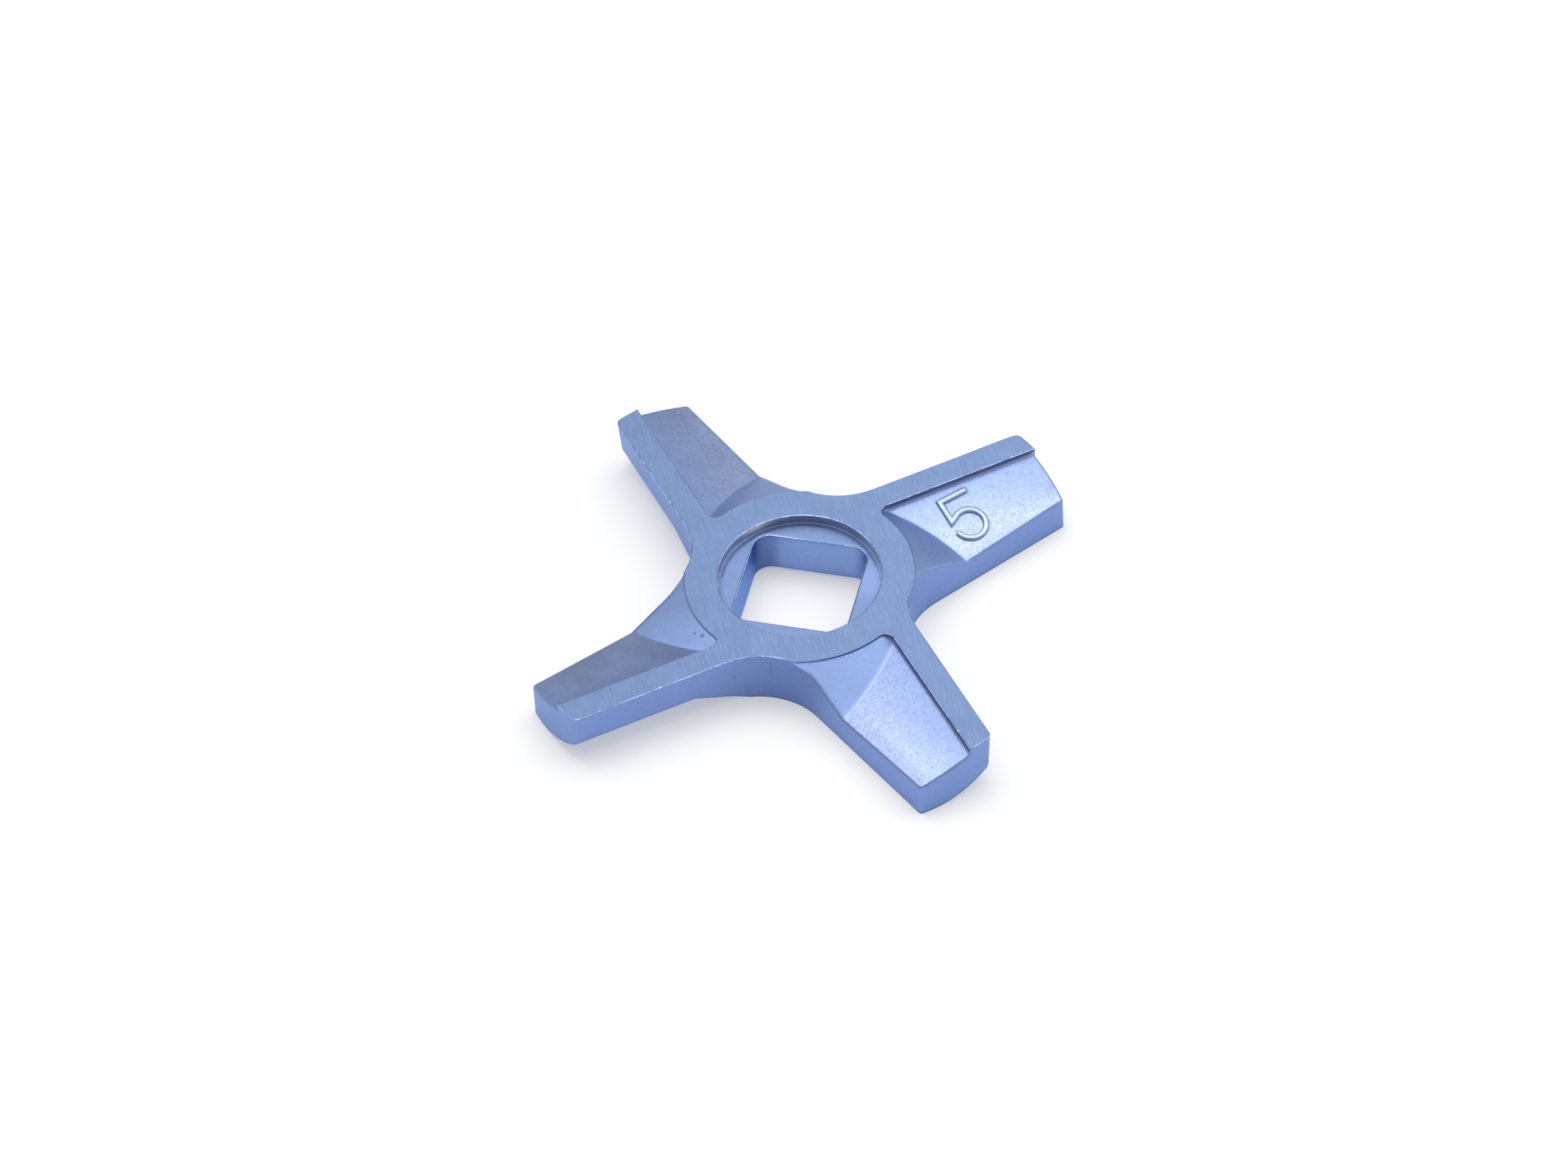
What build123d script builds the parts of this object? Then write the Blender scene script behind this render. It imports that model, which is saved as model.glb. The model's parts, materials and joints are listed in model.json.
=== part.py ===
"""A four-armed knife for a small meat grinder: one cast steel piece, in millimetres.

The knife lies on its underside at z = 0 with the ground cutting face up. Z is the axis of
the square hole, and arm 0 points along +X. Seen from the ground face every arm leads with
its +Y side, where a raised, ground rail carries the cutting edge. Behind the rail the cast
trough falls away towards the heel, and the underside is relieved below the cutting edge.
"""
from build123d import *
import math
import os

# Hub
THICKNESS = 5.1  # underside to ground face
RING_RADIUS = 9.4  # ground ring round the recess
RING_STEP = 0.3  # drop from the ring to the cast cone around it
FOOT_RADIUS = 9.5  # flat foot of the hub on the underside
CONE_ANGLE = 27.0  # fall of the cast cones outside the ring and the foot
RECESS_RADIUS = 6.65
RECESS_DEPTH = 0.95
SQUARE_WIDTH = 9.5  # drive hole, across the flats
SQUARE_CORNER = 1.4
SQUARE_TURN = 51.0  # from the line of arm 0 to a side of the hole, degrees

# Arms
ARM_COUNT = 4
SWEEP_RADIUS = 23.5
EDGE_OFFSET = 5.84  # cutting edge line, from the axis
RAIL_WIDTH = 2.18
RAIL_STEP = 0.76  # drop from the rail to the trough
TROUGH_ANGLE = 15.8  # fall of the trough towards the heel
HEEL_OFFSET = 0.88  # heel corner of the tip, behind the axis
HEEL_ANGLE = 11.6  # heel line to the line of the arm
HEEL_DRAFT = 1.2  # outward lean of the wall at the heel, degrees
WEB_RADIUS = 6.1  # round between an arm and its neighbour
WEB_BEARING = 38.0  # middle of a web, behind its arm
EDGE_HEIGHT = 3.1  # wall under the cutting edge
EDGE_RAKE = 4.0  # undercut of that wall, degrees
RELIEF_END = 0.6  # where the rounded relief meets the underside, behind the axis
LEAD_CORNER = 0.6  # upright rounds at the two corners of a tip
HEEL_CORNER = 0.35
POCKET_CORNER = 0.7  # round where the rail runs into the ring
CUT_MARGIN = 1.2  # how far a relief cutter runs past the wall it cuts

# Edges
GROUND_BREAK = 0.1  # worn edge of the ground face
CAST_ROUND = 0.2  # cast edge between trough and heel
SQUARE_BREAK = 0.12  # hole's edge in the recess
SQUARE_ROUND = 0.6  # hole's cast edge on the underside

# Raised size numeral in the trough of arm 0
NUMERAL_X = 15.4  # centre of its bowl along the arm
NUMERAL_DROP = 3.76  # centre of its bowl below the rail, down the trough
NUMERAL_RISE = 2.98  # centre of its bowl to the end of its flag
BOWL_RADIUS = 1.32
BOWL_START = 131.0  # where the bowl leaves the stem, and how far round it goes, in degrees
BOWL_SWEEP = 289.0
STEM_OUT = 0.14  # top of the stem, outside the bowl
STEM_HOOK = 0.28  # foot of the stem, below the start of the bowl
FLAG_END = 0.92  # end of the flag, from the bowl's centre
FLAG_DROP = 0.28  # fall of the flag to the stem
STROKE = 0.5
NUMERAL_RELIEF = 0.22
NUMERAL_ROUND = 0.18

# Worked out from the sizes above
ARM_STEP = 360 / ARM_COUNT
REACH = 2 * SWEEP_RADIUS  # past every tip
TROUGH_SLOPE = math.tan(math.radians(TROUGH_ANGLE))
CONE_SLOPE = math.tan(math.radians(CONE_ANGLE))
RAKE_SLOPE = math.tan(math.radians(EDGE_RAKE))
DRAFT_SLOPE = math.tan(math.radians(HEEL_DRAFT))
rail_inside = EDGE_OFFSET - RAIL_WIDTH
trough_top = THICKNESS - RAIL_STEP
relief_top = THICKNESS - EDGE_HEIGHT
relief_lead = EDGE_OFFSET - EDGE_HEIGHT * RAKE_SLOPE


def on_sweep(vertex: Vertex) -> bool:
    """Say whether a corner lies on the circle of the tips."""
    return math.isclose(math.hypot(vertex.X, vertex.Y), SWEEP_RADIUS, rel_tol=1e-5)


def leads(vertex: Vertex) -> bool:
    """Say whether a corner lies ahead of the middle line of its own arm."""
    half_step = math.pi / ARM_COUNT
    bearing = math.atan2(vertex.Y, vertex.X)
    return (bearing + half_step) % (2 * half_step) > half_step


def is_trough(face: Face) -> bool:
    """Say whether a face slopes as the troughs do."""
    return math.isclose(face.normal_at().Z, math.cos(math.radians(TROUGH_ANGLE)), rel_tol=1e-6)


def trails(edge: Edge) -> bool:
    """Say whether an edge of a trough runs along the arm's heel, clear of its tip."""
    ends = edge.vertices()
    on_wall = edge.geom_type == GeomType.BSPLINE
    return on_wall and not any(on_sweep(end) or leads(end) for end in ends)


def outline(plane: Plane, edge_offset: float, heel_offset: float) -> Sketch:
    """Outline of the whole knife: arms that meet in rounded webs, with one circle for the tips.

    Args:
        plane: where the outline lies.
        edge_offset: distance of each cutting edge line from the axis.
        heel_offset: distance of each heel corner behind the axis.

    Returns:
        The outline as a sketch on the plane.
    """
    heel_x = math.sqrt(SWEEP_RADIUS**2 - heel_offset**2)
    heel_slope = math.tan(math.radians(HEEL_ANGLE))
    neck_y = heel_slope * (edge_offset - heel_x) - heel_offset
    far_y = heel_slope * (REACH - heel_x) - heel_offset
    corners = [
        Vector(x, y).rotate(Axis.Z, index * ARM_STEP)
        for index in range(ARM_COUNT)
        for x, y in ((edge_offset, neck_y), (REACH, far_y), (REACH, edge_offset))
    ]
    with BuildSketch(plane) as sketch:
        with BuildLine():
            Polyline(*corners, close=True)
        make_face()
        Circle(SWEEP_RADIUS, mode=Mode.INTERSECT)
        fillet(sketch.vertices().sort_by_distance((0, 0, 0))[:ARM_COUNT], WEB_RADIUS)
        tip_corners = sketch.vertices().filter_by(on_sweep)
        fillet(tip_corners.filter_by(leads), LEAD_CORNER)
        tip_corners = sketch.vertices().filter_by(on_sweep)
        fillet(tip_corners.filter_by(leads, reverse=True), HEEL_CORNER)
    return sketch.sketch


foot_outline = outline(
    Plane.XY, EDGE_OFFSET - THICKNESS * RAKE_SLOPE, HEEL_OFFSET + THICKNESS * DRAFT_SLOPE
)
face_outline = outline(Plane.XY.offset(THICKNESS), EDGE_OFFSET, HEEL_OFFSET)

# Hub core: a turned disc with a cast cone above and below its rim. The arms' hollows stop at it.
cone_gap = THICKNESS - RING_STEP + CONE_SLOPE * (RING_RADIUS + FOOT_RADIUS)
rim_radius = cone_gap / (2 * CONE_SLOPE)
rim_height = CONE_SLOPE * (rim_radius - FOOT_RADIUS)
with BuildPart() as core:
    with BuildSketch(Plane.XZ):
        with BuildLine():
            Polyline(
                (0, -THICKNESS),
                (FOOT_RADIUS, -THICKNESS),
                (FOOT_RADIUS, 0),
                (rim_radius, rim_height),
                (RING_RADIUS, THICKNESS - RING_STEP),
                (RING_RADIUS, 2 * THICKNESS),
                (0, 2 * THICKNESS),
                close=True,
            )
        make_face()
    revolve(axis=Axis.Z)

# Hollow of arm 0 above its trough, from the rail to the heel and from the ring to the tip
trough = Plane(
    origin=(0, rail_inside, trough_top), x_dir=(1, 0, 0), z_dir=(0, -TROUGH_SLOPE, 1)
)
web_y = -REACH * math.tan(math.radians(WEB_BEARING))
with BuildPart() as hollow:
    with BuildSketch() as hollow_plan:
        with BuildLine():
            Polyline((0, 0), (REACH, web_y), (REACH, rail_inside), (0, rail_inside), close=True)
        make_face()
        Circle(RING_RADIUS, mode=Mode.SUBTRACT)
        fillet(hollow_plan.vertices().sort_by_distance((0, RING_RADIUS, 0))[0], POCKET_CORNER)
    extrude(amount=2 * THICKNESS)
    split(bisect_by=trough, keep=Keep.TOP)
    add(core.part, mode=Mode.SUBTRACT)

# Relief of arm 0: one arc from the foot of the wall under its cutting edge to the underside
with BuildPart() as relief:
    with BuildSketch(Plane.YZ.offset(EDGE_OFFSET)):
        with BuildLine():
            ease = TangentArc((-RELIEF_END, 0), (relief_lead, relief_top), tangent=(1, 0))
            Polyline(
                ease @ 1,
                (relief_lead + CUT_MARGIN, relief_top),
                (relief_lead + CUT_MARGIN, -THICKNESS),
                (-RELIEF_END, -THICKNESS),
                ease @ 0,
            )
        make_face()
    extrude(amount=REACH)
    add(core.part, mode=Mode.SUBTRACT)

# Numeral of arm 0: one bent stroke, read along the arm
numeral_plane = Plane(
    origin=trough.from_local_coords((NUMERAL_X, -NUMERAL_DROP, 0)),
    x_dir=trough.x_dir,
    z_dir=trough.z_dir,
)
with BuildPart() as numeral:
    with BuildSketch(numeral_plane):
        with BuildLine():
            bowl = CenterArc((0, 0), BOWL_RADIUS, BOWL_START, -BOWL_SWEEP)
            Polyline(
                (FLAG_END, NUMERAL_RISE),
                (-BOWL_RADIUS - STEM_OUT, NUMERAL_RISE - FLAG_DROP),
                (-BOWL_RADIUS, (bowl @ 0).Y - STEM_HOOK),
                bowl @ 0,
            )
        trace(line_width=STROKE)
        with Locations((FLAG_END, NUMERAL_RISE), bowl @ 1):
            Circle(STROKE / 2)
    extrude(amount=NUMERAL_RELIEF, both=True)
    fillet(numeral.faces().sort_by(Axis((0, 0, 0), trough.z_dir))[-1].edges(), NUMERAL_ROUND)

with BuildPart() as knife:
    add(foot_outline)
    add(face_outline)
    loft(ruled=True)
    with PolarLocations(0, ARM_COUNT):
        add(hollow.part, mode=Mode.SUBTRACT)
        add(relief.part, mode=Mode.SUBTRACT)
    with BuildSketch(Plane.XY.offset(THICKNESS)):
        Circle(RECESS_RADIUS)
    extrude(amount=-RECESS_DEPTH, mode=Mode.SUBTRACT)
    with BuildSketch():
        Rectangle(SQUARE_WIDTH, SQUARE_WIDTH, rotation=SQUARE_TURN)
        fillet(vertices(), SQUARE_CORNER)
    extrude(amount=THICKNESS, mode=Mode.SUBTRACT)
    hole_edges = knife.edges(Select.LAST).group_by(Axis.Z)
    fillet(hole_edges[0], SQUARE_ROUND)
    chamfer(hole_edges[-1], SQUARE_BREAK)
    chamfer(knife.faces().sort_by(Axis.Z)[-1].edges(), GROUND_BREAK)
    fillet(knife.faces().filter_by(is_trough).edges().filter_by(trails), CAST_ROUND)
    add(numeral.part)

knife.part.label = "knife"
os.makedirs("parts", exist_ok=True)
export_step(knife.part, "parts/knife.step")
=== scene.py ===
"""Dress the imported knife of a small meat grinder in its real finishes.

The knife is one steel casting, seen here with its cutting face up. Its ring and rails are
ground with parallel lines, its recess is turned, its troughs and cones are blasted, and its
walls keep a smoother cast skin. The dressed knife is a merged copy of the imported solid, with
one finish for each kind of face. Cast edges are rounded by their finish, ground ones stay keen.
"""

import json
import logging
import math
from dataclasses import dataclass, field
from enum import Enum
from typing import ClassVar

import bpy
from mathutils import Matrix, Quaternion, Vector

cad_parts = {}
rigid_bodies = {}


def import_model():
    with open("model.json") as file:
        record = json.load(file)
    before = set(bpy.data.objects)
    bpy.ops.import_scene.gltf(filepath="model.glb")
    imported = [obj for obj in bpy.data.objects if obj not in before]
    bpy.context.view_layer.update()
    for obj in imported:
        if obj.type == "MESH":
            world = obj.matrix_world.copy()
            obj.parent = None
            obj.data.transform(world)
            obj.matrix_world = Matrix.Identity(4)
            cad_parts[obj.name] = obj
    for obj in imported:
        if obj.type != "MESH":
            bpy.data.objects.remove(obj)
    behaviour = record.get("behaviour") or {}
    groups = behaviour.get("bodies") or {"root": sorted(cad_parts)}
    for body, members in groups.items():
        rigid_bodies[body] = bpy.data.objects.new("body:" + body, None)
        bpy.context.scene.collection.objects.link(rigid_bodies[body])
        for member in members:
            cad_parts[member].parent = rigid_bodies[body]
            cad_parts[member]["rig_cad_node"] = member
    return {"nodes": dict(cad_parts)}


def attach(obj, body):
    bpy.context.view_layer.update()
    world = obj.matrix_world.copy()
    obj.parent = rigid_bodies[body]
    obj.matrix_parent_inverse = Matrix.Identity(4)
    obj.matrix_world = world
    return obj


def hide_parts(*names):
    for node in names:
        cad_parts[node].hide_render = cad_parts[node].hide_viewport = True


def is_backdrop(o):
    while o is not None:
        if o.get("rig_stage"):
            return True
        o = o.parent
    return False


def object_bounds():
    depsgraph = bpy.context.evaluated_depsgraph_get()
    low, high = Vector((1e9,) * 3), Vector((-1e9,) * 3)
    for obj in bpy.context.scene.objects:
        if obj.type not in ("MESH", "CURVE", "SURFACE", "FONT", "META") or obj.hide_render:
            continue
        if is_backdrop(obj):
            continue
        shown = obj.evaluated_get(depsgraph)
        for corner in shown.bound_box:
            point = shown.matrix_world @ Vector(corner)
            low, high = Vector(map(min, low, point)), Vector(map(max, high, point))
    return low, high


MM = 0.001
LOG = logging.getLogger("knife")

Colour = tuple[float, float, float]

UP: Colour = (0, 0, 1)
LEVEL: Colour = (1, 1, 0)  # keeps the plan of a place and drops its height
MIDDLE = 0.5  # about which a noise swings
SAMPLES = 8  # of the rounding and of the painted shade in corners

RUST: Colour = (0.13, 0.1, 0.12)
STAIN: Colour = (0.3, 0.18, 0.3)
# colour of the painted glints at each small nick along the edges
PAINTED_GLINT: Colour = (0.8, 0.86, 1.0)
# colour of painted light on the seat: a lighter patch and a highlight line along the recess wall
PAINTED_LIGHT: Colour = (0.38, 0.52, 0.95)
# colour of painted shade, and of the scratches on the walls
PAINTED_SHADE_AND_SCRATCH: Colour = (0.05, 0.08, 0.26)
BLACK: Colour = (0, 0, 0)
WHITE: Colour = (1, 1, 1)


class Face(Enum):
    """The kinds of face on the knife, each with a finish of its own."""

    GROUND = 0
    KEEN = 1
    SEAT = 2
    TURNED = 3
    TROUGH = 4
    CONE = 5
    WALL = 6
    STEP = 7
    HOLE = 8
    NUMERAL = 9


class Signal:
    """One socket of a node tree, with arithmetic that adds Math nodes."""

    def __init__(self, tree: "Tree", socket: bpy.types.NodeSocket) -> None:
        """Wrap a socket.

        Args:
            tree: the tree that the socket belongs to.
            socket: an output socket.
        """
        self.tree = tree
        self.socket = socket

    def math(self, operation: str, *values: "Signal | float") -> "Signal":
        """Add a Math node.

        Args:
            operation: the node's operation.
            values: its inputs in order, as signals or numbers.

        Returns:
            The node's output.
        """
        inputs = dict(enumerate(values))
        return self.tree.node("ShaderNodeMath", {"operation": operation}, inputs)

    def __add__(self, other: "Signal | float") -> "Signal":
        """Return the sum."""
        return self.math("ADD", self, other)

    __radd__ = __add__

    def __sub__(self, other: "Signal | float") -> "Signal":
        """Return the difference."""
        return self.math("SUBTRACT", self, other)

    def __rsub__(self, other: float) -> "Signal":
        """Return a number less this signal."""
        return self.math("SUBTRACT", other, self)

    def __mul__(self, other: "Signal | float") -> "Signal":
        """Return the product."""
        return self.math("MULTIPLY", self, other)

    __rmul__ = __mul__

    def __or__(self, other: "Signal") -> "Signal":
        """Return the larger, which joins two masks."""
        return self.math("MAXIMUM", self, other)

    def exponential(self) -> "Signal":
        """Return e to the power of this signal."""
        return self.math("EXPONENT", self)

    def size(self) -> "Signal":
        """Return this signal without its sign."""
        return self.math("ABSOLUTE", self)

    def step(self, low: float, high: float) -> "Signal":
        """Ease from 0 to 1 between two values.

        Args:
            low: value at which the result leaves 0.
            high: value at which it reaches 1. It may be the lower of the two.

        Returns:
            The eased signal.
        """
        settings = {"interpolation_type": "SMOOTHSTEP"}
        inputs = {"Value": self, "From Min": low, "From Max": high}
        return self.tree.node("ShaderNodeMapRange", settings, inputs)


class Tree:
    """A node tree that is built by calls, one node each."""

    def __init__(self, owner: bpy.types.Material | bpy.types.World) -> None:
        """Start an empty tree.

        Args:
            owner: the material or world to build in.
        """
        owner.use_nodes = True
        self.tree = owner.node_tree
        self.tree.nodes.clear()

    def node(
        self,
        kind: str,
        settings: dict | None = None,
        inputs: dict | None = None,
        output: int | str = 0,
    ) -> Signal:
        """Add a node.

        Args:
            kind: the node's type.
            settings: its properties, set before its inputs.
            inputs: links or values of its sockets, by name or number.
            output: which of its outputs to return.

        Returns:
            That output.
        """
        made = self.tree.nodes.new(kind)
        for name, value in (settings or {}).items():
            setattr(made, name, value)
        for key, value in (inputs or {}).items():
            socket = made.inputs[key]
            if isinstance(value, Signal):
                self.tree.links.new(value.socket, socket)
            elif isinstance(value, tuple) and socket.type == "RGBA":
                socket.default_value = (*value, 1)
            else:
                socket.default_value = value
        return Signal(self, made.outputs[output] if made.outputs else None)

    def mix(self, factor: Signal, low: Signal | Colour, high: Signal | Colour) -> Signal:
        """Mix two colours.

        Args:
            factor: 0 for low and 1 for high.
            low: one colour.
            high: the other colour.

        Returns:
            The mixed colour.
        """
        settings = {"data_type": "RGBA", "clamp_factor": True}
        return self.node("ShaderNodeMix", settings, {0: factor, 6: low, 7: high}, 2)

    def shade(self, colour: Signal | Colour, brightness: Signal) -> Signal:
        """Multiply a colour by a brightness.

        Args:
            colour: the colour.
            brightness: about 1.

        Returns:
            The product.
        """
        inputs = {0: colour, "Scale": brightness}
        return self.node("ShaderNodeVectorMath", {"operation": "SCALE"}, inputs)

    def along(self, coordinates: Signal, direction: Colour) -> Signal:
        """Measure coordinates along a direction.

        Args:
            coordinates: what to measure.
            direction: the direction, whose length scales the result.

        Returns:
            The distance.
        """
        inputs = {0: coordinates, 1: direction}
        settings = {"operation": "DOT_PRODUCT"}
        return self.node("ShaderNodeVectorMath", settings, inputs, "Value")

    def place(self) -> Signal:
        """Object coordinates in millimetres."""
        coordinates = self.node("ShaderNodeTexCoord", output="Object")
        inputs = {0: coordinates, "Scale": 1 / MM}
        return self.node("ShaderNodeVectorMath", {"operation": "SCALE"}, inputs)

    def height(self) -> Signal:
        """Height above the underside, in mm."""
        return self.along(self.place(), UP)

    def streaks(self, bearing: float, length: float, pitch: float, detail: float) -> Signal:
        """Noise drawn out into parallel lines on a level face.

        Args:
            bearing: direction of the lines from +X, in degrees.
            length: of a line, in mm.
            pitch: from line to line, in mm.
            detail: octaves.

        Returns:
            The noise, about 0.5.
        """
        turn = math.radians(bearing)
        place = self.place()
        lengthways = self.along(place, (math.cos(turn) / length, math.sin(turn) / length, 0))
        crossways = self.along(place, (-math.sin(turn) / pitch, math.cos(turn) / pitch, 0))
        joined = self.node("ShaderNodeCombineXYZ", {}, {"X": lengthways, "Y": crossways})
        inputs = {"Vector": joined, "Scale": 1.0, "Detail": detail}
        return self.node("ShaderNodeTexNoise", {}, inputs)

    def noise(self, size: float, detail: float = 2.0) -> Signal:
        """Even noise.

        Args:
            size: of its features, in mm.
            detail: octaves.

        Returns:
            The noise, about 0.5.
        """
        inputs = {"Vector": self.place(), "Scale": 1 / size, "Detail": detail}
        return self.node("ShaderNodeTexNoise", {}, inputs)

    def distance(self, x: float = 0.0, y: float = 0.0) -> Signal:
        """Distance in plan from a point, in mm.

        Args:
            x: the point's place, in mm.
            y: the point's place, in mm.

        Returns:
            The distance.
        """
        flat = {0: self.place(), 1: LEVEL}
        plan = self.node("ShaderNodeVectorMath", {"operation": "MULTIPLY"}, flat)
        ends = {0: plan, 1: (x, y, 0)}
        return self.node("ShaderNodeVectorMath", {"operation": "DISTANCE"}, ends, "Value")

    def plain(self) -> Signal:
        """Normal of the face itself."""
        return self.node("ShaderNodeNewGeometry", output="Normal")

    def rounded(self, radius: float) -> Signal:
        """Normal that rounds off the edges nearby.

        Args:
            radius: of the rounding, in mm.

        Returns:
            The normal.
        """
        return self.node("ShaderNodeBevel", {"samples": SAMPLES}, {"Radius": radius * MM})

    def turned_up(self, lift: float) -> Signal:
        """Normal of a tiny round edge, which leans on towards +Z.

        Args:
            lift: how far it leans, against the face's own normal as 1.

        Returns:
            The normal.
        """
        parts = {0: self.plain(), 1: (0, 0, lift)}
        leant = self.node("ShaderNodeVectorMath", {"operation": "ADD"}, parts)
        return self.node("ShaderNodeVectorMath", {"operation": "NORMALIZE"}, {0: leant})

    def relief(self, height: Signal, depth: float, normal: Signal | None = None) -> Signal:
        """Normal that follows a relief.

        Args:
            height: the relief, from 0 to 1.
            depth: of the whole relief, in mm.
            normal: normal of the face below it, where it isn't the plain one.

        Returns:
            The normal.
        """
        inputs = {"Height": height, "Strength": 1.0, "Distance": depth * MM}
        if normal:
            inputs["Normal"] = normal
        return self.node("ShaderNodeBump", {}, inputs)

    def metal(self, **sockets: "Signal | float | Colour") -> None:
        """Finish the tree with a metal surface.

        Args:
            sockets: values or links of the shader's sockets, with spaces as underscores.
        """
        inputs = {name.replace("_", " "): value for name, value in sockets.items()}
        shader = self.node("ShaderNodeBsdfPrincipled", {}, {"Metallic": 1.0, **inputs})
        self.node("ShaderNodeOutputMaterial", {}, {"Surface": shader})


@dataclass(frozen=True)
class Spot:
    """A round mark on the steel, such as rust; the same shape also makes round patches of
    painted light and painted shade. In mm.
    """

    x: float
    y: float
    radius: float
    colour: Colour = RUST
    strength: float = 0.6

    FRAY: ClassVar[float] = 0.6  # share of the radius that the edge strays, up to FRAY_MOST
    FRAY_MOST: ClassVar[float] = 0.2
    CORE: ClassVar[float] = 0.2  # share of the radius that keeps the full strength

    def mask(self, tree: Tree, ragged: Signal) -> Signal:
        """Where the mark is.

        Args:
            tree: the finish's tree.
            ragged: noise that frays its edge.

        Returns:
            Its mask.
        """
        fray = (ragged - MIDDLE) * min(self.FRAY * self.radius, self.FRAY_MOST)
        return (tree.distance(self.x, self.y) + fray).step(self.radius, self.CORE * self.radius)

    def add(self, tree: Tree, tint: Signal, ragged: Signal) -> Signal:
        """Put the mark or the painted patch on a tint.

        Args:
            tree: the finish's tree.
            tint: colour so far.
            ragged: noise that frays the mark.

        Returns:
            The marked tint.
        """
        return tree.mix(self.mask(tree, ragged) * self.strength, tint, self.colour)


@dataclass(frozen=True)
class Scratch(Spot):
    """An upright mark on a wall, between two heights in mm."""

    low: float = 0.0
    high: float = 5.1
    width: float = 0.07

    FULL_HEIGHT: ClassVar[float] = 0.6  # share of the height that keeps the full strength
    FULL_WIDTH: ClassVar[float] = 0.3

    def mask(self, tree: Tree, ragged: Signal) -> Signal:
        """Where the mark is.

        Args:
            tree: the finish's tree.
            ragged: noise that frays its edge.

        Returns:
            Its mask.
        """
        half = (self.high - self.low) / 2
        above = tree.height() - (self.low + self.high) / 2
        aside = tree.along(tree.place(), (1, 0, 0)) - self.x + (ragged - MIDDLE) * self.width
        tall = above.size().step(half, self.FULL_HEIGHT * half)
        wide = aside.size().step(self.width, self.FULL_WIDTH * self.width)
        return super().mask(tree, ragged) * tall * wide


@dataclass(frozen=True)
class Fibre(Spot):
    """A thin mark in the shape of an arc, such as a stain fibre; the same shape also makes thin
    lines of painted highlight and painted shade. In mm and degrees.
    """

    bearing: float = 0.0
    spread: float = 180.0
    width: float = 0.05

    WAVE: ClassVar[float] = 0.2  # how far the line strays, in mm
    FULL_WIDTH: ClassVar[float] = 0.3

    def mask(self, tree: Tree, ragged: Signal) -> Signal:
        """Where the mark is.

        Args:
            tree: the finish's tree.
            ragged: noise that frays its line.

        Returns:
            Its mask.
        """
        turn = math.radians(self.bearing)
        toward = (math.cos(turn), math.sin(turn), 0)
        middle = self.x * toward[0] + self.y * toward[1]
        end = middle + self.radius * math.cos(math.radians(self.spread))
        wave = (ragged - MIDDLE) * self.WAVE
        line = (tree.distance(self.x, self.y) - self.radius + wave).size()
        inside = tree.along(tree.place(), toward).step(end, end + self.width)
        return line.step(self.width, self.FULL_WIDTH * self.width) * inside


@dataclass(frozen=True)
class Lines:
    """A set of grinding lines: its turn from the grinding in degrees, its sizes in mm."""

    turn: float
    length: float
    pitch: float
    detail: float
    strength: float
    rare: float = 0.0  # noise above which a line is a scratch

    EASE: ClassVar[float] = 0.2  # from where a scratch starts to show to where it is full

    def noise(self, tree: Tree, bearing: float) -> Signal:
        """Draw the lines.

        Args:
            tree: the finish's tree.
            bearing: direction of the grinding from +X, in degrees.

        Returns:
            Their noise.
        """
        return tree.streaks(bearing + self.turn, self.length, self.pitch, self.detail)

    def scratches(self, tree: Tree, bearing: float) -> Signal:
        """Pick out the few lines that show as scratches.

        Args:
            tree: the finish's tree.
            bearing: direction of the grinding from +X, in degrees.

        Returns:
            Their mask.
        """
        return self.noise(tree, bearing).step(self.rare, self.rare + self.EASE) * self.strength


@dataclass(frozen=True)
class GroundFinish:
    """Steel ground flat, with parallel lines and a few lighter scratches."""

    name: str = "ground_steel"
    tint: Colour = (0.17, 0.246, 0.43)
    scratch_tint: Colour = (0.42, 0.54, 0.8)
    bearing: float = 75.0
    fine: Lines = Lines(0, 2.6, 0.14, 3.0, 0.36)
    coarse: Lines = Lines(-4, 5.0, 0.34, 2.0, 0.2)
    short: Lines = Lines(3, 1.1, 0.06, 0.0, 0.24, 0.64)
    long: Lines = Lines(8, 4.0, 0.07, 0.0, 0.144, 0.66)
    darkest: float = 0.64
    cloud: float = 3.0
    cloud_shade: float = 0.16
    roughness: float = 0.38
    uneven: float = 0.12
    depth: float = 0.0025  # of the lines, in mm

    def material(self) -> bpy.types.Material:
        """Build the material."""
        material = bpy.data.materials.new(self.name)
        tree = Tree(material)
        fine = self.fine.noise(tree, self.bearing)
        coarse = self.coarse.noise(tree, self.bearing)
        shade = self.darkest + fine * self.fine.strength + coarse * self.coarse.strength
        tint = tree.shade(self.tint, shade + tree.noise(self.cloud) * self.cloud_shade)
        short = self.short.scratches(tree, self.bearing)
        scratches = short | self.long.scratches(tree, self.bearing)
        tree.metal(
            Base_Color=tree.mix(scratches, tint, self.scratch_tint),
            Roughness=self.roughness + (coarse - MIDDLE) * self.uneven,
            Normal=tree.relief(fine, self.depth),
        )
        return material


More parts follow.
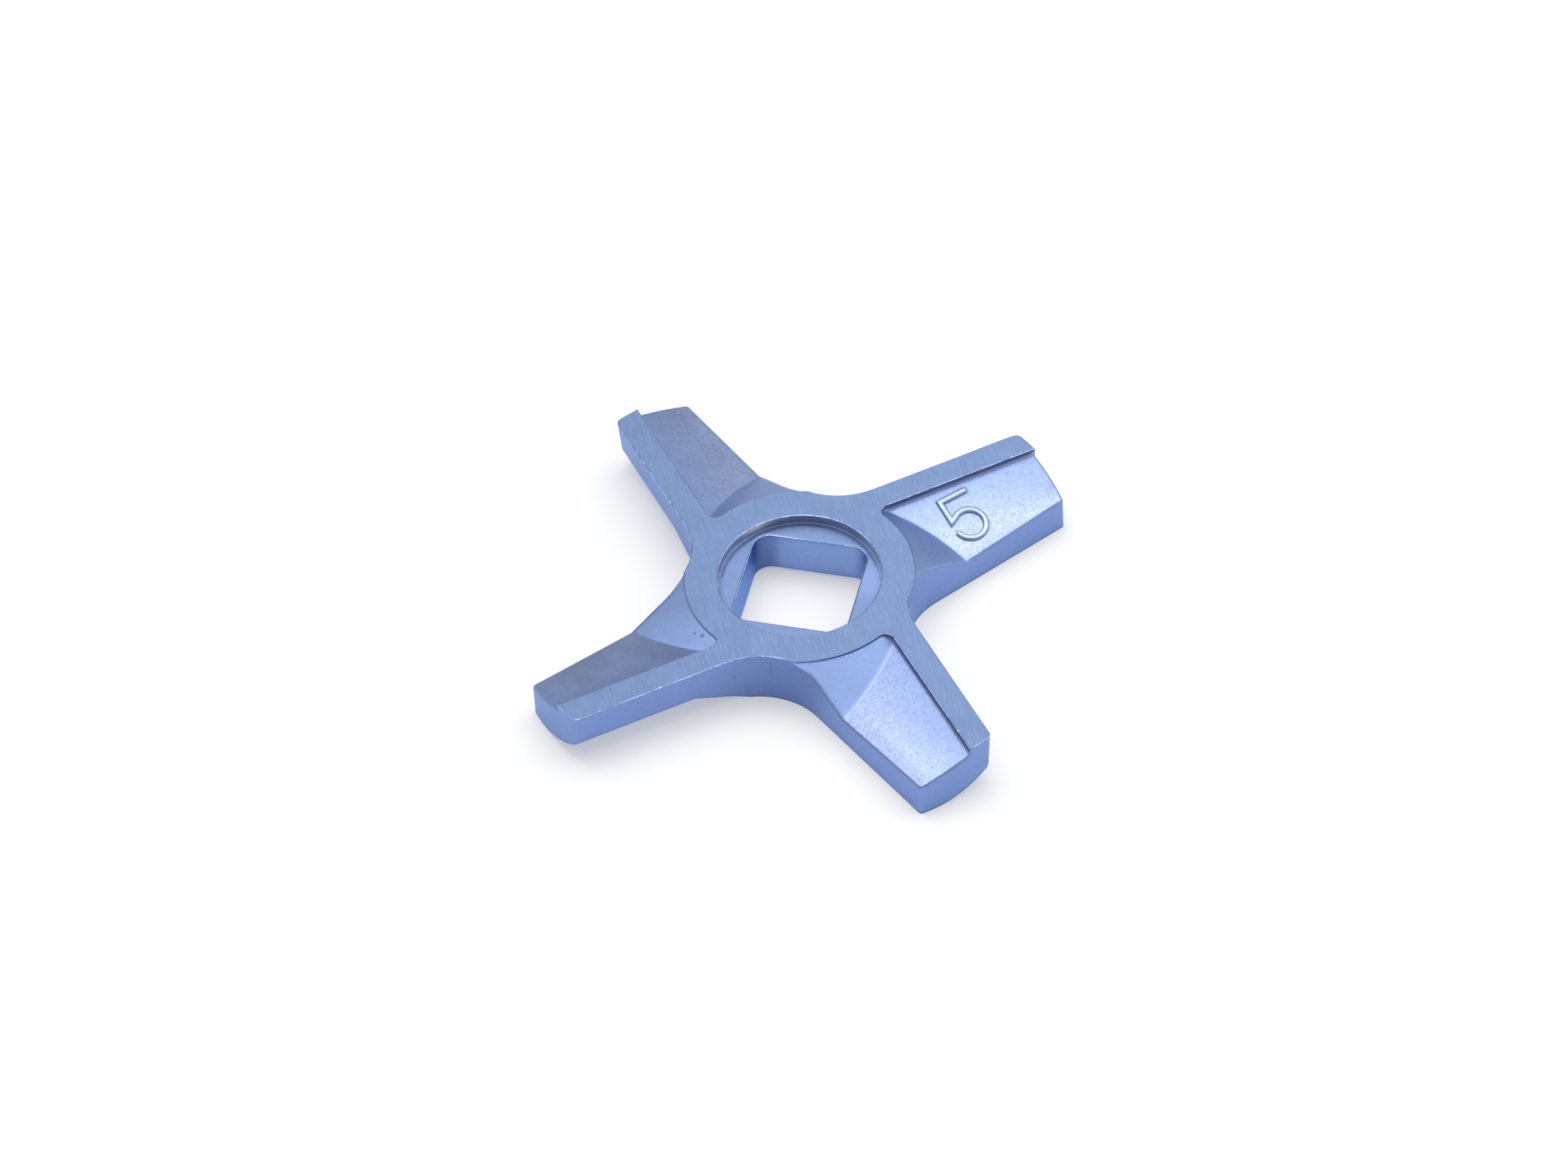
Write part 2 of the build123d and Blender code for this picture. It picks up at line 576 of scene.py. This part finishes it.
@dataclass(frozen=True)
class KeenFinish:
    """Narrow break along a ground edge, with a painted highlight line along its worn rim where
    it meets the wall.
    """

    name: str = "keen_edge"
    # tint is the colour of the painted highlight along the worn rim, dull the rest of the break;
    # lines gives the highlight's heights in mm.
    tint: Colour = (0.44, 0.52, 0.8)
    dull: Colour = (0.155, 0.225, 0.395)
    lines: tuple[float, ...] = (5.0, 4.03)
    width: float = 0.03
    bead: float = 0.3
    bead_share: float = 0.6
    run: float = 2.2
    highlight_from: float = 0.38
    highlight_full: float = 0.58
    roughness: float = 0.45
    depth: float = 0.002
    lift: float = 1.2
    ring_radius: float = 9.4
    off_ring_from: float = 0.12
    off_ring_full: float = 0.3
    nick_glints: tuple[Spot, ...] = ()

    def material(self) -> bpy.types.Material:
        """Build the material."""
        material = bpy.data.materials.new(self.name)
        tree = Tree(material)
        beads = tree.noise(self.bead, 3.0)
        runs = beads * self.bead_share + tree.noise(self.run) * (1 - self.bead_share)
        outer, seat = (self.line(tree, level) for level in self.lines)
        aside = (tree.distance() - self.ring_radius).size()
        off_ring = aside.step(self.off_ring_from, self.off_ring_full)
        # Painted highlight: a lighter line along the rim, left off at the ring's step.
        highlight = runs.step(self.highlight_from, self.highlight_full) * (outer | seat) * off_ring
        tint = tree.mix(highlight, self.dull, self.tint)
        # Painted glints, one at each nick along the cutting edges.
        for nick in self.nick_glints:
            tint = nick.add(tree, tint, beads)
        normal = tree.relief(beads, self.depth, tree.turned_up(self.lift))
        tree.metal(Base_Color=tint, Roughness=self.roughness, Normal=normal)
        return material

    def line(self, tree: Tree, level: float) -> Signal:
        """Mask of one painted highlight line.

        Args:
            tree: the finish's tree.
            level: its height, in mm.

        Returns:
            Its mask.
        """
        return (tree.height() - level).size().step(2 * self.width, self.width)


@dataclass(frozen=True)
class CastFinish:
    """Cast steel with a blasted skin, cloudy and fine grained. Its sizes are in mm."""

    name: str
    tint: Colour
    roughness: float = 0.46
    uneven: float = 0.1
    grain: float = 0.13
    grain_shade: float = 0.24
    depth: float = 0.009
    mottle: float = 0.4
    mottle_shade: float = 0.16
    cloud: float = 3.0
    cloud_shade: float = 0.2
    glint: float = 0.7  # size of a glint, in grains
    glint_from: float = 0.66
    glint_full: float = 0.8
    glint_shade: float = 1.3
    sparkle: float = 0.4
    rounding: float = 0.45
    sharp_within: float = 0.0
    sharp_fade: float = 0.8
    film: float = 0.0
    film_high: float = 4.3  # height at which the film leaves its least
    film_low: float = 2.9
    film_least: float = 0.35
    film_more: float = 0.9
    speckle_least: float = 0.4
    speckle_more: float = 1.2
    speckle_from: float = 0.3
    speckle_full: float = 0.7
    speckle_grain: float = 0.8  # share of the fine noise
    film_roughness: float = 0.27
    film_ior: float = 2.25
    edge_tint: Colour = WHITE
    # Painted shade in inside corners: its strength, its reach in mm and the openness over which
    # it comes in.
    corner_shade: float = 0.5
    corner_shade_reach: float = 0.5
    corner_shade_from: float = 0.9  # openness at which the painted corner shade starts
    corner_shade_full: float = 0.4
    marks_and_painted_light: tuple[Spot, ...] = ()

    def material(self) -> bpy.types.Material:
        """Build the material."""
        material = bpy.data.materials.new(self.name)
        tree = Tree(material)
        grain = tree.noise(self.grain)
        mottle = tree.noise(self.mottle, 3.0)
        cloud = tree.noise(self.cloud) - MIDDLE
        shade = 1 + (grain - MIDDLE) * self.grain_shade + (mottle - MIDDLE) * self.mottle_shade
        # Painted shade: the colour is darkened in inside corners and creases, found by ambient
        # occlusion.
        unshaded = 1 - self.corners(tree) * self.corner_shade
        tint = tree.shade(self.tint, (shade + cloud * self.cloud_shade) * unshaded)
        glints = tree.noise(self.glint * self.grain, 0.0).step(self.glint_from, self.glint_full)
        glint_tint = tuple(self.glint_shade * part for part in self.tint)
        tint = tree.mix(glints * self.sparkle, tint, glint_tint)
        # Rust, stains and scratches, and on some faces painted light and shade.
        for mark in self.marks_and_painted_light:
            tint = mark.add(tree, tint, grain)
        coat = self.coat(tree, grain, mottle) if self.film else {}
        tree.metal(
            Base_Color=tint,
            Roughness=self.roughness + cloud * self.uneven,
            Normal=tree.relief(grain, self.depth, self.rounded(tree)),
            Specular_Tint=self.edge_tint,
            **coat,
        )
        return material

    def coat(self, tree: Tree, grain: Signal, mottle: Signal) -> dict[str, Signal | float]:
        """Bright film that the blasting leaves, broken by the grain and thicker low down.

        Args:
            tree: the finish's tree.
            grain: fine noise.
            mottle: coarser noise.

        Returns:
            The shader's sockets for it.
        """
        low = tree.height().step(self.film_high, self.film_low)
        cover = low * self.film_more + self.film_least
        spots = grain * self.speckle_grain + mottle * (1 - self.speckle_grain)
        spots = spots.step(self.speckle_from, self.speckle_full)
        speckle = self.speckle_least + spots * self.speckle_more
        return {
            "Coat_Weight": cover * speckle * self.film,
            "Coat_Roughness": self.film_roughness,
            "Coat_IOR": self.film_ior,
        }

    def rounded(self, tree: Tree) -> Signal:
        """Normal with the edges rounded, save near the axis.

        Args:
            tree: the finish's tree.

        Returns:
            The normal.
        """
        rounded = tree.rounded(self.rounding)
        if not self.sharp_within:
            return rounded
        outside = tree.distance().step(self.sharp_within, self.sharp_within + self.sharp_fade)
        inputs = {0: outside, 4: tree.plain(), 5: rounded}
        return tree.node("ShaderNodeMix", {"data_type": "VECTOR"}, inputs, 1)

    def corners(self, tree: Tree) -> Signal:
        """Mask of the inside corners, where shade is painted.

        Args:
            tree: the finish's tree.

        Returns:
            1 in a corner and 0 on an open face.
        """
        inputs = {"Distance": self.corner_shade_reach * MM}
        settings = {"samples": SAMPLES, "only_local": True}
        openness = tree.node("ShaderNodeAmbientOcclusion", settings, inputs, "AO")
        return openness.step(self.corner_shade_from, self.corner_shade_full)


@dataclass(frozen=True)
class TurnedFinish:
    """Wall of the recess, turned with fine lines round it."""

    name: str = "turned_wall"
    tint: Colour = (0.61, 0.62, 0.71)
    darkest: float = 0.8
    lines: float = 14.0  # to a millimetre
    line_shade: float = 0.3
    cloud: float = 1.5
    cloud_shade: float = 0.3
    roughness: float = 0.34
    depth: float = 0.004
    rounding: float = 0.1

    def material(self) -> bpy.types.Material:
        """Build the material."""
        material = bpy.data.materials.new(self.name)
        tree = Tree(material)
        inputs = {"W": tree.height() * self.lines}
        rings = tree.node("ShaderNodeTexNoise", {"noise_dimensions": "1D"}, inputs)
        clouds = (tree.noise(self.cloud) - MIDDLE) * self.cloud_shade
        tint = tree.shade(self.tint, self.darkest + rings * self.line_shade + clouds)
        normal = tree.relief(rings, self.depth, tree.rounded(self.rounding))
        tree.metal(Base_Color=tint, Roughness=self.roughness, Normal=normal)
        return material


@dataclass(frozen=True)
class StepFinish:
    """Step down from a rail, with painted shade under the rail and painted light low down, by
    its cast fillet.
    """

    name: str = "step_wall"
    shaded_top: Colour = (0.14, 0.165, 0.28)
    lit_foot: Colour = (0.38, 0.46, 0.8)
    top: float = 4.92
    bottom: float = 4.45
    grain: float = 0.13
    grain_shade: float = 0.4
    ripple: float = 0.1
    darkest: float = 0.8
    roughness: float = 0.44
    depth: float = 0.004
    rounding: float = 0.5

    def material(self) -> bpy.types.Material:
        """Build the material."""
        material = bpy.data.materials.new(self.name)
        tree = Tree(material)
        grain = tree.noise(self.grain)
        height = tree.height() + (grain - MIDDLE) * self.ripple
        # Painted shade at the top of the step, fading into painted light towards its bottom.
        tint = tree.mix(height.step(self.top, self.bottom), self.shaded_top, self.lit_foot)
        tint = tree.shade(tint, self.darkest + grain * self.grain_shade)
        normal = tree.relief(grain, self.depth, tree.rounded(self.rounding))
        tree.metal(Base_Color=tint, Roughness=self.roughness, Normal=normal)
        return material


CONE_MARKS = (Spot(-10.02, -1.28, 0.15), Spot(-9.63, -1.94, 0.24, RUST, 0.75))
SEAT_MARKS_AND_PAINTED_LIGHT = (
    Spot(6.15, 2.33, 0.28),
    # Painted light: a lighter patch on the seat's right side.
    Spot(5.2, -2.5, 3.0, PAINTED_LIGHT, 0.25),
    Fibre(6.15, -1.2, 0.2, STAIN, 0.4, 60.0, 130.0),
    # Painted highlight along the bottom of the recess wall, on its far side.
    Fibre(0.0, 0.0, 6.6, PAINTED_LIGHT, 0.5, 67.0, 90.0, 0.06),
    # Painted shade: a band along the bottom of the recess wall, standing in for the wall's
    # reflection in the seat.
    Fibre(0.0, 0.0, 6.36, PAINTED_SHADE_AND_SCRATCH, 0.4, 67.0, 80.0, 0.17),
)
TROUGH_MARKS = (
    Fibre(-0.55, 13.15, 0.95, STAIN, 0.7, 43.0, 73.0),
    Fibre(1.3, -13.5, 0.8, STAIN, 0.4, 198.0, 30.0),
    Fibre(0.2, -14.6, 1.6, STAIN, 0.4, 260.0, 24.0, 0.07),
    Spot(-0.51, 13.5, 0.14, RUST, 0.8),
)
WALL_SCRATCHES_AND_SHADE = (
    # Painted shade over the web wall between the arms at -X and -Y.
    Spot(-5.6, -8.2, 5.0, PAINTED_SHADE_AND_SCRATCH, 0.25),
    Scratch(-6.0, -7.15, 0.6, PAINTED_SHADE_AND_SCRATCH, 0.35, 2.3, 4.7, 0.06),
    Scratch(-8.73, -5.83, 0.5, PAINTED_SHADE_AND_SCRATCH, 0.45, 2.7, 3.2, 0.12),
    Scratch(-6.0, -7.2, 0.6, PAINTED_SHADE_AND_SCRATCH, 0.5, 0.9, 1.3, 0.14),
    Scratch(-7.6, -6.0, 0.6, PAINTED_SHADE_AND_SCRATCH, 0.45, 0.5, 0.9, 0.12),
)
# Painted shade in two corners of the square hole.
HOLE_CORNER_SHADE = (Spot(-0.64, 6.1, 1.9, PAINTED_SHADE_AND_SCRATCH, 0.55), Spot(6.1, 0.64, 1.2, PAINTED_SHADE_AND_SCRATCH, 0.3))
# Painted glints: light specks at each small nick along the cutting edges, in mm.
EDGE_NICK_GLINTS = (
    Spot(6.86, -6.14, 0.1, PAINTED_GLINT, 1.0),
    Spot(-6.47, -6.6, 0.06, PAINTED_GLINT, 0.7),
    Spot(-9.95, -5.87, 0.06, PAINTED_GLINT, 0.8),
    Spot(-15.18, -5.81, 0.1, PAINTED_GLINT, 0.9),
    Spot(-20.49, -5.85, 0.1, PAINTED_GLINT, 1.0),
    Spot(-5.81, 18.75, 0.1, PAINTED_GLINT, 0.8),
    Spot(-5.81, 17.29, 0.08, PAINTED_GLINT, 0.8),
    Spot(-5.8, 12.32, 0.1, PAINTED_GLINT, 0.8),
    Spot(-5.88, 21.37, 0.12, PAINTED_GLINT, 0.6),
    Spot(3.74, -21.04, 0.12, PAINTED_GLINT, 0.8),
)

FINISHES = {
    Face.GROUND: GroundFinish(),
    Face.KEEN: KeenFinish(nick_glints=EDGE_NICK_GLINTS),
    Face.SEAT: CastFinish(
        "seat", (0.2, 0.28, 0.5), rounding=0.1, corner_shade=0.3, corner_shade_reach=0.8, marks_and_painted_light=SEAT_MARKS_AND_PAINTED_LIGHT
    ),
    Face.TURNED: TurnedFinish(),
    Face.TROUGH: CastFinish(
        "blasted_trough", (0.26, 0.35, 0.63), film=0.66, grain=0.17, depth=0.014,
        mottle_shade=0.3, rounding=0.32, corner_shade=0.15, corner_shade_reach=0.3, marks_and_painted_light=TROUGH_MARKS,
    ),
    Face.CONE: CastFinish(
        "blasted_cone", (0.275, 0.385, 0.69), depth=0.003, sparkle=0.15, rounding=0.55,
        sharp_within=9.7, corner_shade=0.3, corner_shade_reach=0.2, marks_and_painted_light=CONE_MARKS,
    ),
    Face.WALL: CastFinish(
        "cast_wall", (0.22, 0.325, 0.65), roughness=0.44, edge_tint=(0.9, 0.95, 1.0),
        depth=0.002, sparkle=0.1, cloud_shade=0.14, mottle_shade=0.1,
        corner_shade=0.6, corner_shade_reach=6.0, marks_and_painted_light=WALL_SCRATCHES_AND_SHADE,
    ),
    Face.STEP: StepFinish(),
    Face.HOLE: CastFinish(
        "hole_wall", (0.25, 0.365, 0.69), roughness=0.4, edge_tint=(0.5, 0.7, 1.0),
        depth=0.002, sparkle=0.1, cloud_shade=0.14, mottle_shade=0.1,
        corner_shade=0.85, corner_shade_reach=2.0, marks_and_painted_light=HOLE_CORNER_SHADE,
    ),
    Face.NUMERAL: CastFinish(
        "numeral", (0.39, 0.49, 0.75), film=0.5, rounding=0.16, corner_shade=0.7, corner_shade_reach=0.25
    ),
}


@dataclass
class Knife:
    """The knife's sizes, in metres, its dressed mesh and its finishes."""

    node: str = "knife"
    recess_radius: float = 6.65 * MM
    recess_depth: float = 0.95 * MM
    ground_break: float = 0.1 * MM
    ring_radius: float = 9.4 * MM
    rail_inside: float = 3.66 * MM
    pocket_corner: float = 0.7 * MM
    numeral_middle: float = 15.4 * MM
    numeral_half: float = 1.9 * MM
    numeral_proud: float = 0.002 * MM
    ring_step: float = 0.3 * MM
    rail_step: float = 0.76 * MM
    trough_slope: float = math.tan(math.radians(15.8))
    near: float = 0.004 * MM
    slack: float = 0.032 * MM
    arm_step: float = math.radians(90)
    smooth_below: float = math.radians(20)
    straight_out: float = 0.99
    level_rise: float = 0.9
    cone_rise: float = math.cos(math.radians(21))
    wall_rise: float = 0.3

    def build(self, solid: bpy.types.Object) -> bpy.types.Object:
        """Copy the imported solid, merge it and dress it.

        Args:
            solid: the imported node.

        Returns:
            The dressed piece.
        """
        piece = solid.copy()
        piece.data = solid.data.copy()
        piece.name = "knife_dressed"
        del piece["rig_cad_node"]
        bpy.context.scene.collection.objects.link(piece)
        bpy.ops.object.select_all(action="DESELECT")
        piece.select_set(True)
        bpy.context.view_layer.objects.active = piece
        bpy.ops.mesh.customdata_custom_splitnormals_clear()
        bpy.ops.object.mode_set(mode="EDIT")
        bpy.ops.mesh.select_all(action="SELECT")
        bpy.ops.mesh.remove_doubles(threshold=self.near)
        bpy.ops.object.mode_set(mode="OBJECT")
        bpy.ops.object.shade_smooth_by_angle(angle=self.smooth_below)
        piece.data.materials.clear()
        for kind in Face:
            piece.data.materials.append(FINISHES[kind].material())
        top = max(vertex.co.z for vertex in piece.data.vertices)
        for polygon in piece.data.polygons:
            polygon.material_index = self.kind_of(polygon.center, polygon.normal, top).value
        return piece

    def kind_of(self, centre: Vector, normal: Vector, top: float) -> Face:
        """Say what kind of face lies at a place.

        Args:
            centre: middle of the face.
            normal: its normal.
            top: height of the ground face.

        Returns:
            The kind of face.
        """
        radius = math.hypot(centre.x, centre.y)
        seat = top - self.recess_depth
        if centre.z > top - self.near:
            return Face.GROUND
        if centre.z > top - self.ground_break and self.wall_rise < normal.z < self.straight_out:
            return Face.KEEN
        if radius < self.recess_radius + self.ground_break:
            if centre.z > seat + self.near:
                return Face.TURNED
            if normal.z > self.level_rise:
                return Face.SEAT
            return Face.HOLE if normal.z < self.wall_rise else Face.KEEN
        if self.on_numeral(centre, top):
            return Face.NUMERAL
        if normal.z > self.cone_rise:
            return Face.TROUGH
        if normal.z > self.wall_rise or self.is_ring_step(centre, normal, top):
            return Face.CONE
        return Face.STEP if self.bounds_hollow(centre, top) else Face.WALL

    def on_numeral(self, centre: Vector, top: float) -> bool:
        """Say whether a face stands proud of the trough of arm 0, in the numeral's stretch.

        Args:
            centre: middle of the face.
            top: height of the ground face.

        Returns:
            True for the numeral.
        """
        floor = top - self.rail_step - (self.rail_inside - centre.y) * self.trough_slope
        inside = abs(centre.x - self.numeral_middle) < self.numeral_half
        proud = centre.z - floor > self.numeral_proud
        return inside and proud and abs(centre.y) < self.rail_inside - self.slack

    def is_ring_step(self, centre: Vector, normal: Vector, top: float) -> bool:
        """Say whether an upright face is the low step round the ring.

        Args:
            centre: middle of the face.
            normal: its normal.
            top: height of the ground face.

        Returns:
            True for the step.
        """
        radius = math.hypot(centre.x, centre.y)
        outward = (normal.x * centre.x + normal.y * centre.y) / radius
        beside = abs(radius - self.ring_radius) < self.slack
        return beside and outward > self.straight_out and centre.z > top - self.ring_step

    def bounds_hollow(self, centre: Vector, top: float) -> bool:
        """Say whether an upright face is the rail's step down to a hollow.

        Args:
            centre: middle of the face.
            top: height of the ground face.

        Returns:
            True for a step, and False for an outer wall.
        """
        radius = math.hypot(centre.x, centre.y)
        bearing = math.atan2(centre.y, centre.x)
        bearing -= round(bearing / self.arm_step) * self.arm_step
        across = radius * math.sin(bearing)
        if centre.z < top - self.rail_step or radius < self.ring_radius:
            return False
        in_pocket = radius - self.ring_radius < self.pocket_corner
        inside = self.rail_inside - across
        return abs(inside) < self.slack or (in_pocket and 0 < inside < 2 * self.pocket_corner)


@dataclass(frozen=True)
class Softbox:
    """A round soft light, far off: its height and bearing in degrees, and how narrow it is."""

    height: float
    bearing: float
    strength: float
    focus: float = 9.0

    def toward(self) -> Colour:
        """Direction to its middle."""
        height, bearing = math.radians(self.height), math.radians(self.bearing)
        flat = math.cos(height)
        return (flat * math.cos(bearing), flat * math.sin(bearing), math.sin(height))


SOFTBOXES = (
    Softbox(74, 28, 1.35, 25.0),
    Softbox(75, 100, 2.4, 30.0),
    Softbox(62, 0, 1.0),
    Softbox(62, 120, 1.25),
    Softbox(38, 0, 0.58),
    Softbox(50, 104, 0.45, 20.0),
    Softbox(14, 45, 0.22),
    Softbox(16, 135, 0.24),
    Softbox(42, -110, 0.25),
    Softbox(22, -30, 0.6),
    Softbox(22, -150, 0.4),
)


@dataclass
class Studio:
    """A plain pale floor, soft light and the camera."""

    camera_place: Vector = field(default_factory=lambda: Vector((-151.26, -350.62, 413.63)) * MM)
    camera_aim: Vector = field(default_factory=lambda: Vector((0.11, 3.62, 0.0)) * MM)
    camera_roll: float = math.radians(-3.62)
    lens: float = 159.05
    sensor: float = 36.0
    clip_start: float = 0.01
    lamp_place: Vector = field(default_factory=lambda: Vector((98, 160, 189)) * MM)
    lamp_size: float = 80 * MM
    lamp_power: float = 0.026
    floor_size: float = 6.0
    floor_paint: Colour = (0.68,) * 3
    floor_lift: Colour = (0.36,) * 3
    floor_roughness: float = 0.9
    ambient: float = 0.12
    backdrop_top: float = 0.06

    def build_camera(self) -> None:
        """Add the camera."""
        data = bpy.data.cameras.new("camera")
        data.lens = self.lens
        data.sensor_width = self.sensor
        data.clip_start = self.clip_start
        camera = bpy.data.objects.new("camera", data)
        bpy.context.scene.collection.objects.link(camera)
        aim = (self.camera_aim - self.camera_place).to_track_quat("-Z", "Y")
        camera.rotation_mode = "QUATERNION"
        camera.rotation_quaternion = aim @ Quaternion((0, 0, 1), self.camera_roll)
        camera.location = self.camera_place
        bpy.context.scene.camera = camera
        bpy.context.scene.view_settings.view_transform = "Standard"

    def ray_is(self, tree: Tree, kind: str) -> Signal:
        """Mask of one kind of ray, by the Light Path node's name for it."""
        return tree.node("ShaderNodeLightPath", output=kind)

    def mirrored(self, tree: Tree) -> Signal:
        """Mask of the rays that metal and glass send on."""
        return self.ray_is(tree, "Is Glossy Ray") | self.ray_is(tree, "Is Transmission Ray")

    def build_floor(self, height: float) -> None:
        """Add the floor.

        Args:
            height: where the knife rests.
        """
        bpy.ops.mesh.primitive_plane_add(size=self.floor_size, location=(0, 0, height))
        floor = bpy.context.object
        floor.name = "floor"
        material = bpy.data.materials.new("floor")
        tree = Tree(material)
        seen = self.ray_is(tree, "Is Camera Ray") | self.mirrored(tree)
        inputs = {
            "Base Color": self.floor_paint,
            "Roughness": self.floor_roughness,
            "Emission Color": tree.mix(seen, BLACK, self.floor_lift),
            "Emission Strength": 1.0,
        }
        shader = tree.node("ShaderNodeBsdfPrincipled", {}, inputs)
        tree.node("ShaderNodeOutputMaterial", {}, {"Surface": shader})
        floor.data.materials.append(material)
        floor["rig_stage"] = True

    def build_light(self) -> None:
        """Add the world's soft light, with a white backdrop behind it."""
        world = bpy.data.worlds.new("studio")
        bpy.context.scene.world = world
        tree = Tree(world)
        ray = tree.node("ShaderNodeTexCoord", output="Generated")
        light = self.ambient
        for box in SOFTBOXES:
            away = tree.along(ray, box.toward()) - 1
            light = (away * box.focus).exponential() * box.strength + light
        low = tree.along(ray, UP).step(self.backdrop_top, 0.0)
        backdrop = self.ray_is(tree, "Is Camera Ray") | self.mirrored(tree) * low
        lamps = tree.node("ShaderNodeBackground", {}, {"Color": WHITE, "Strength": light})
        white = tree.node("ShaderNodeBackground", {}, {"Color": WHITE, "Strength": 1.0})
        shader = tree.node("ShaderNodeMixShader", {}, {0: backdrop, 1: lamps, 2: white})
        tree.node("ShaderNodeOutputWorld", {}, {"Surface": shader})

    def build_lamp(self) -> None:
        """Add the near lamp, whose light fades across the knife."""
        data = bpy.data.lights.new("lamp", "AREA")
        data.size = self.lamp_size
        data.energy = self.lamp_power
        lamp = bpy.data.objects.new("lamp", data)
        lamp.location = self.lamp_place
        lamp.rotation_mode = "QUATERNION"
        lamp.rotation_quaternion = (-self.lamp_place).to_track_quat("-Z", "Y")
        bpy.context.scene.collection.objects.link(lamp)


def main() -> None:
    """Build and dress the knife, set up the studio and report each piece."""
    logging.basicConfig(level=logging.INFO, format="%(message)s")
    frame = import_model()
    solid_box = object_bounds()
    knife = Knife()
    solid = frame["nodes"][knife.node]
    piece = knife.build(solid)
    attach(piece, "root")
    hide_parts(knife.node)
    LOG.info("%s: %d faces", piece.name, len(piece.data.polygons))
    studio = Studio()
    studio.build_camera()
    studio.build_floor(solid_box[0].z)
    studio.build_light()
    studio.build_lamp()


if __name__ == "__main__":
    main()
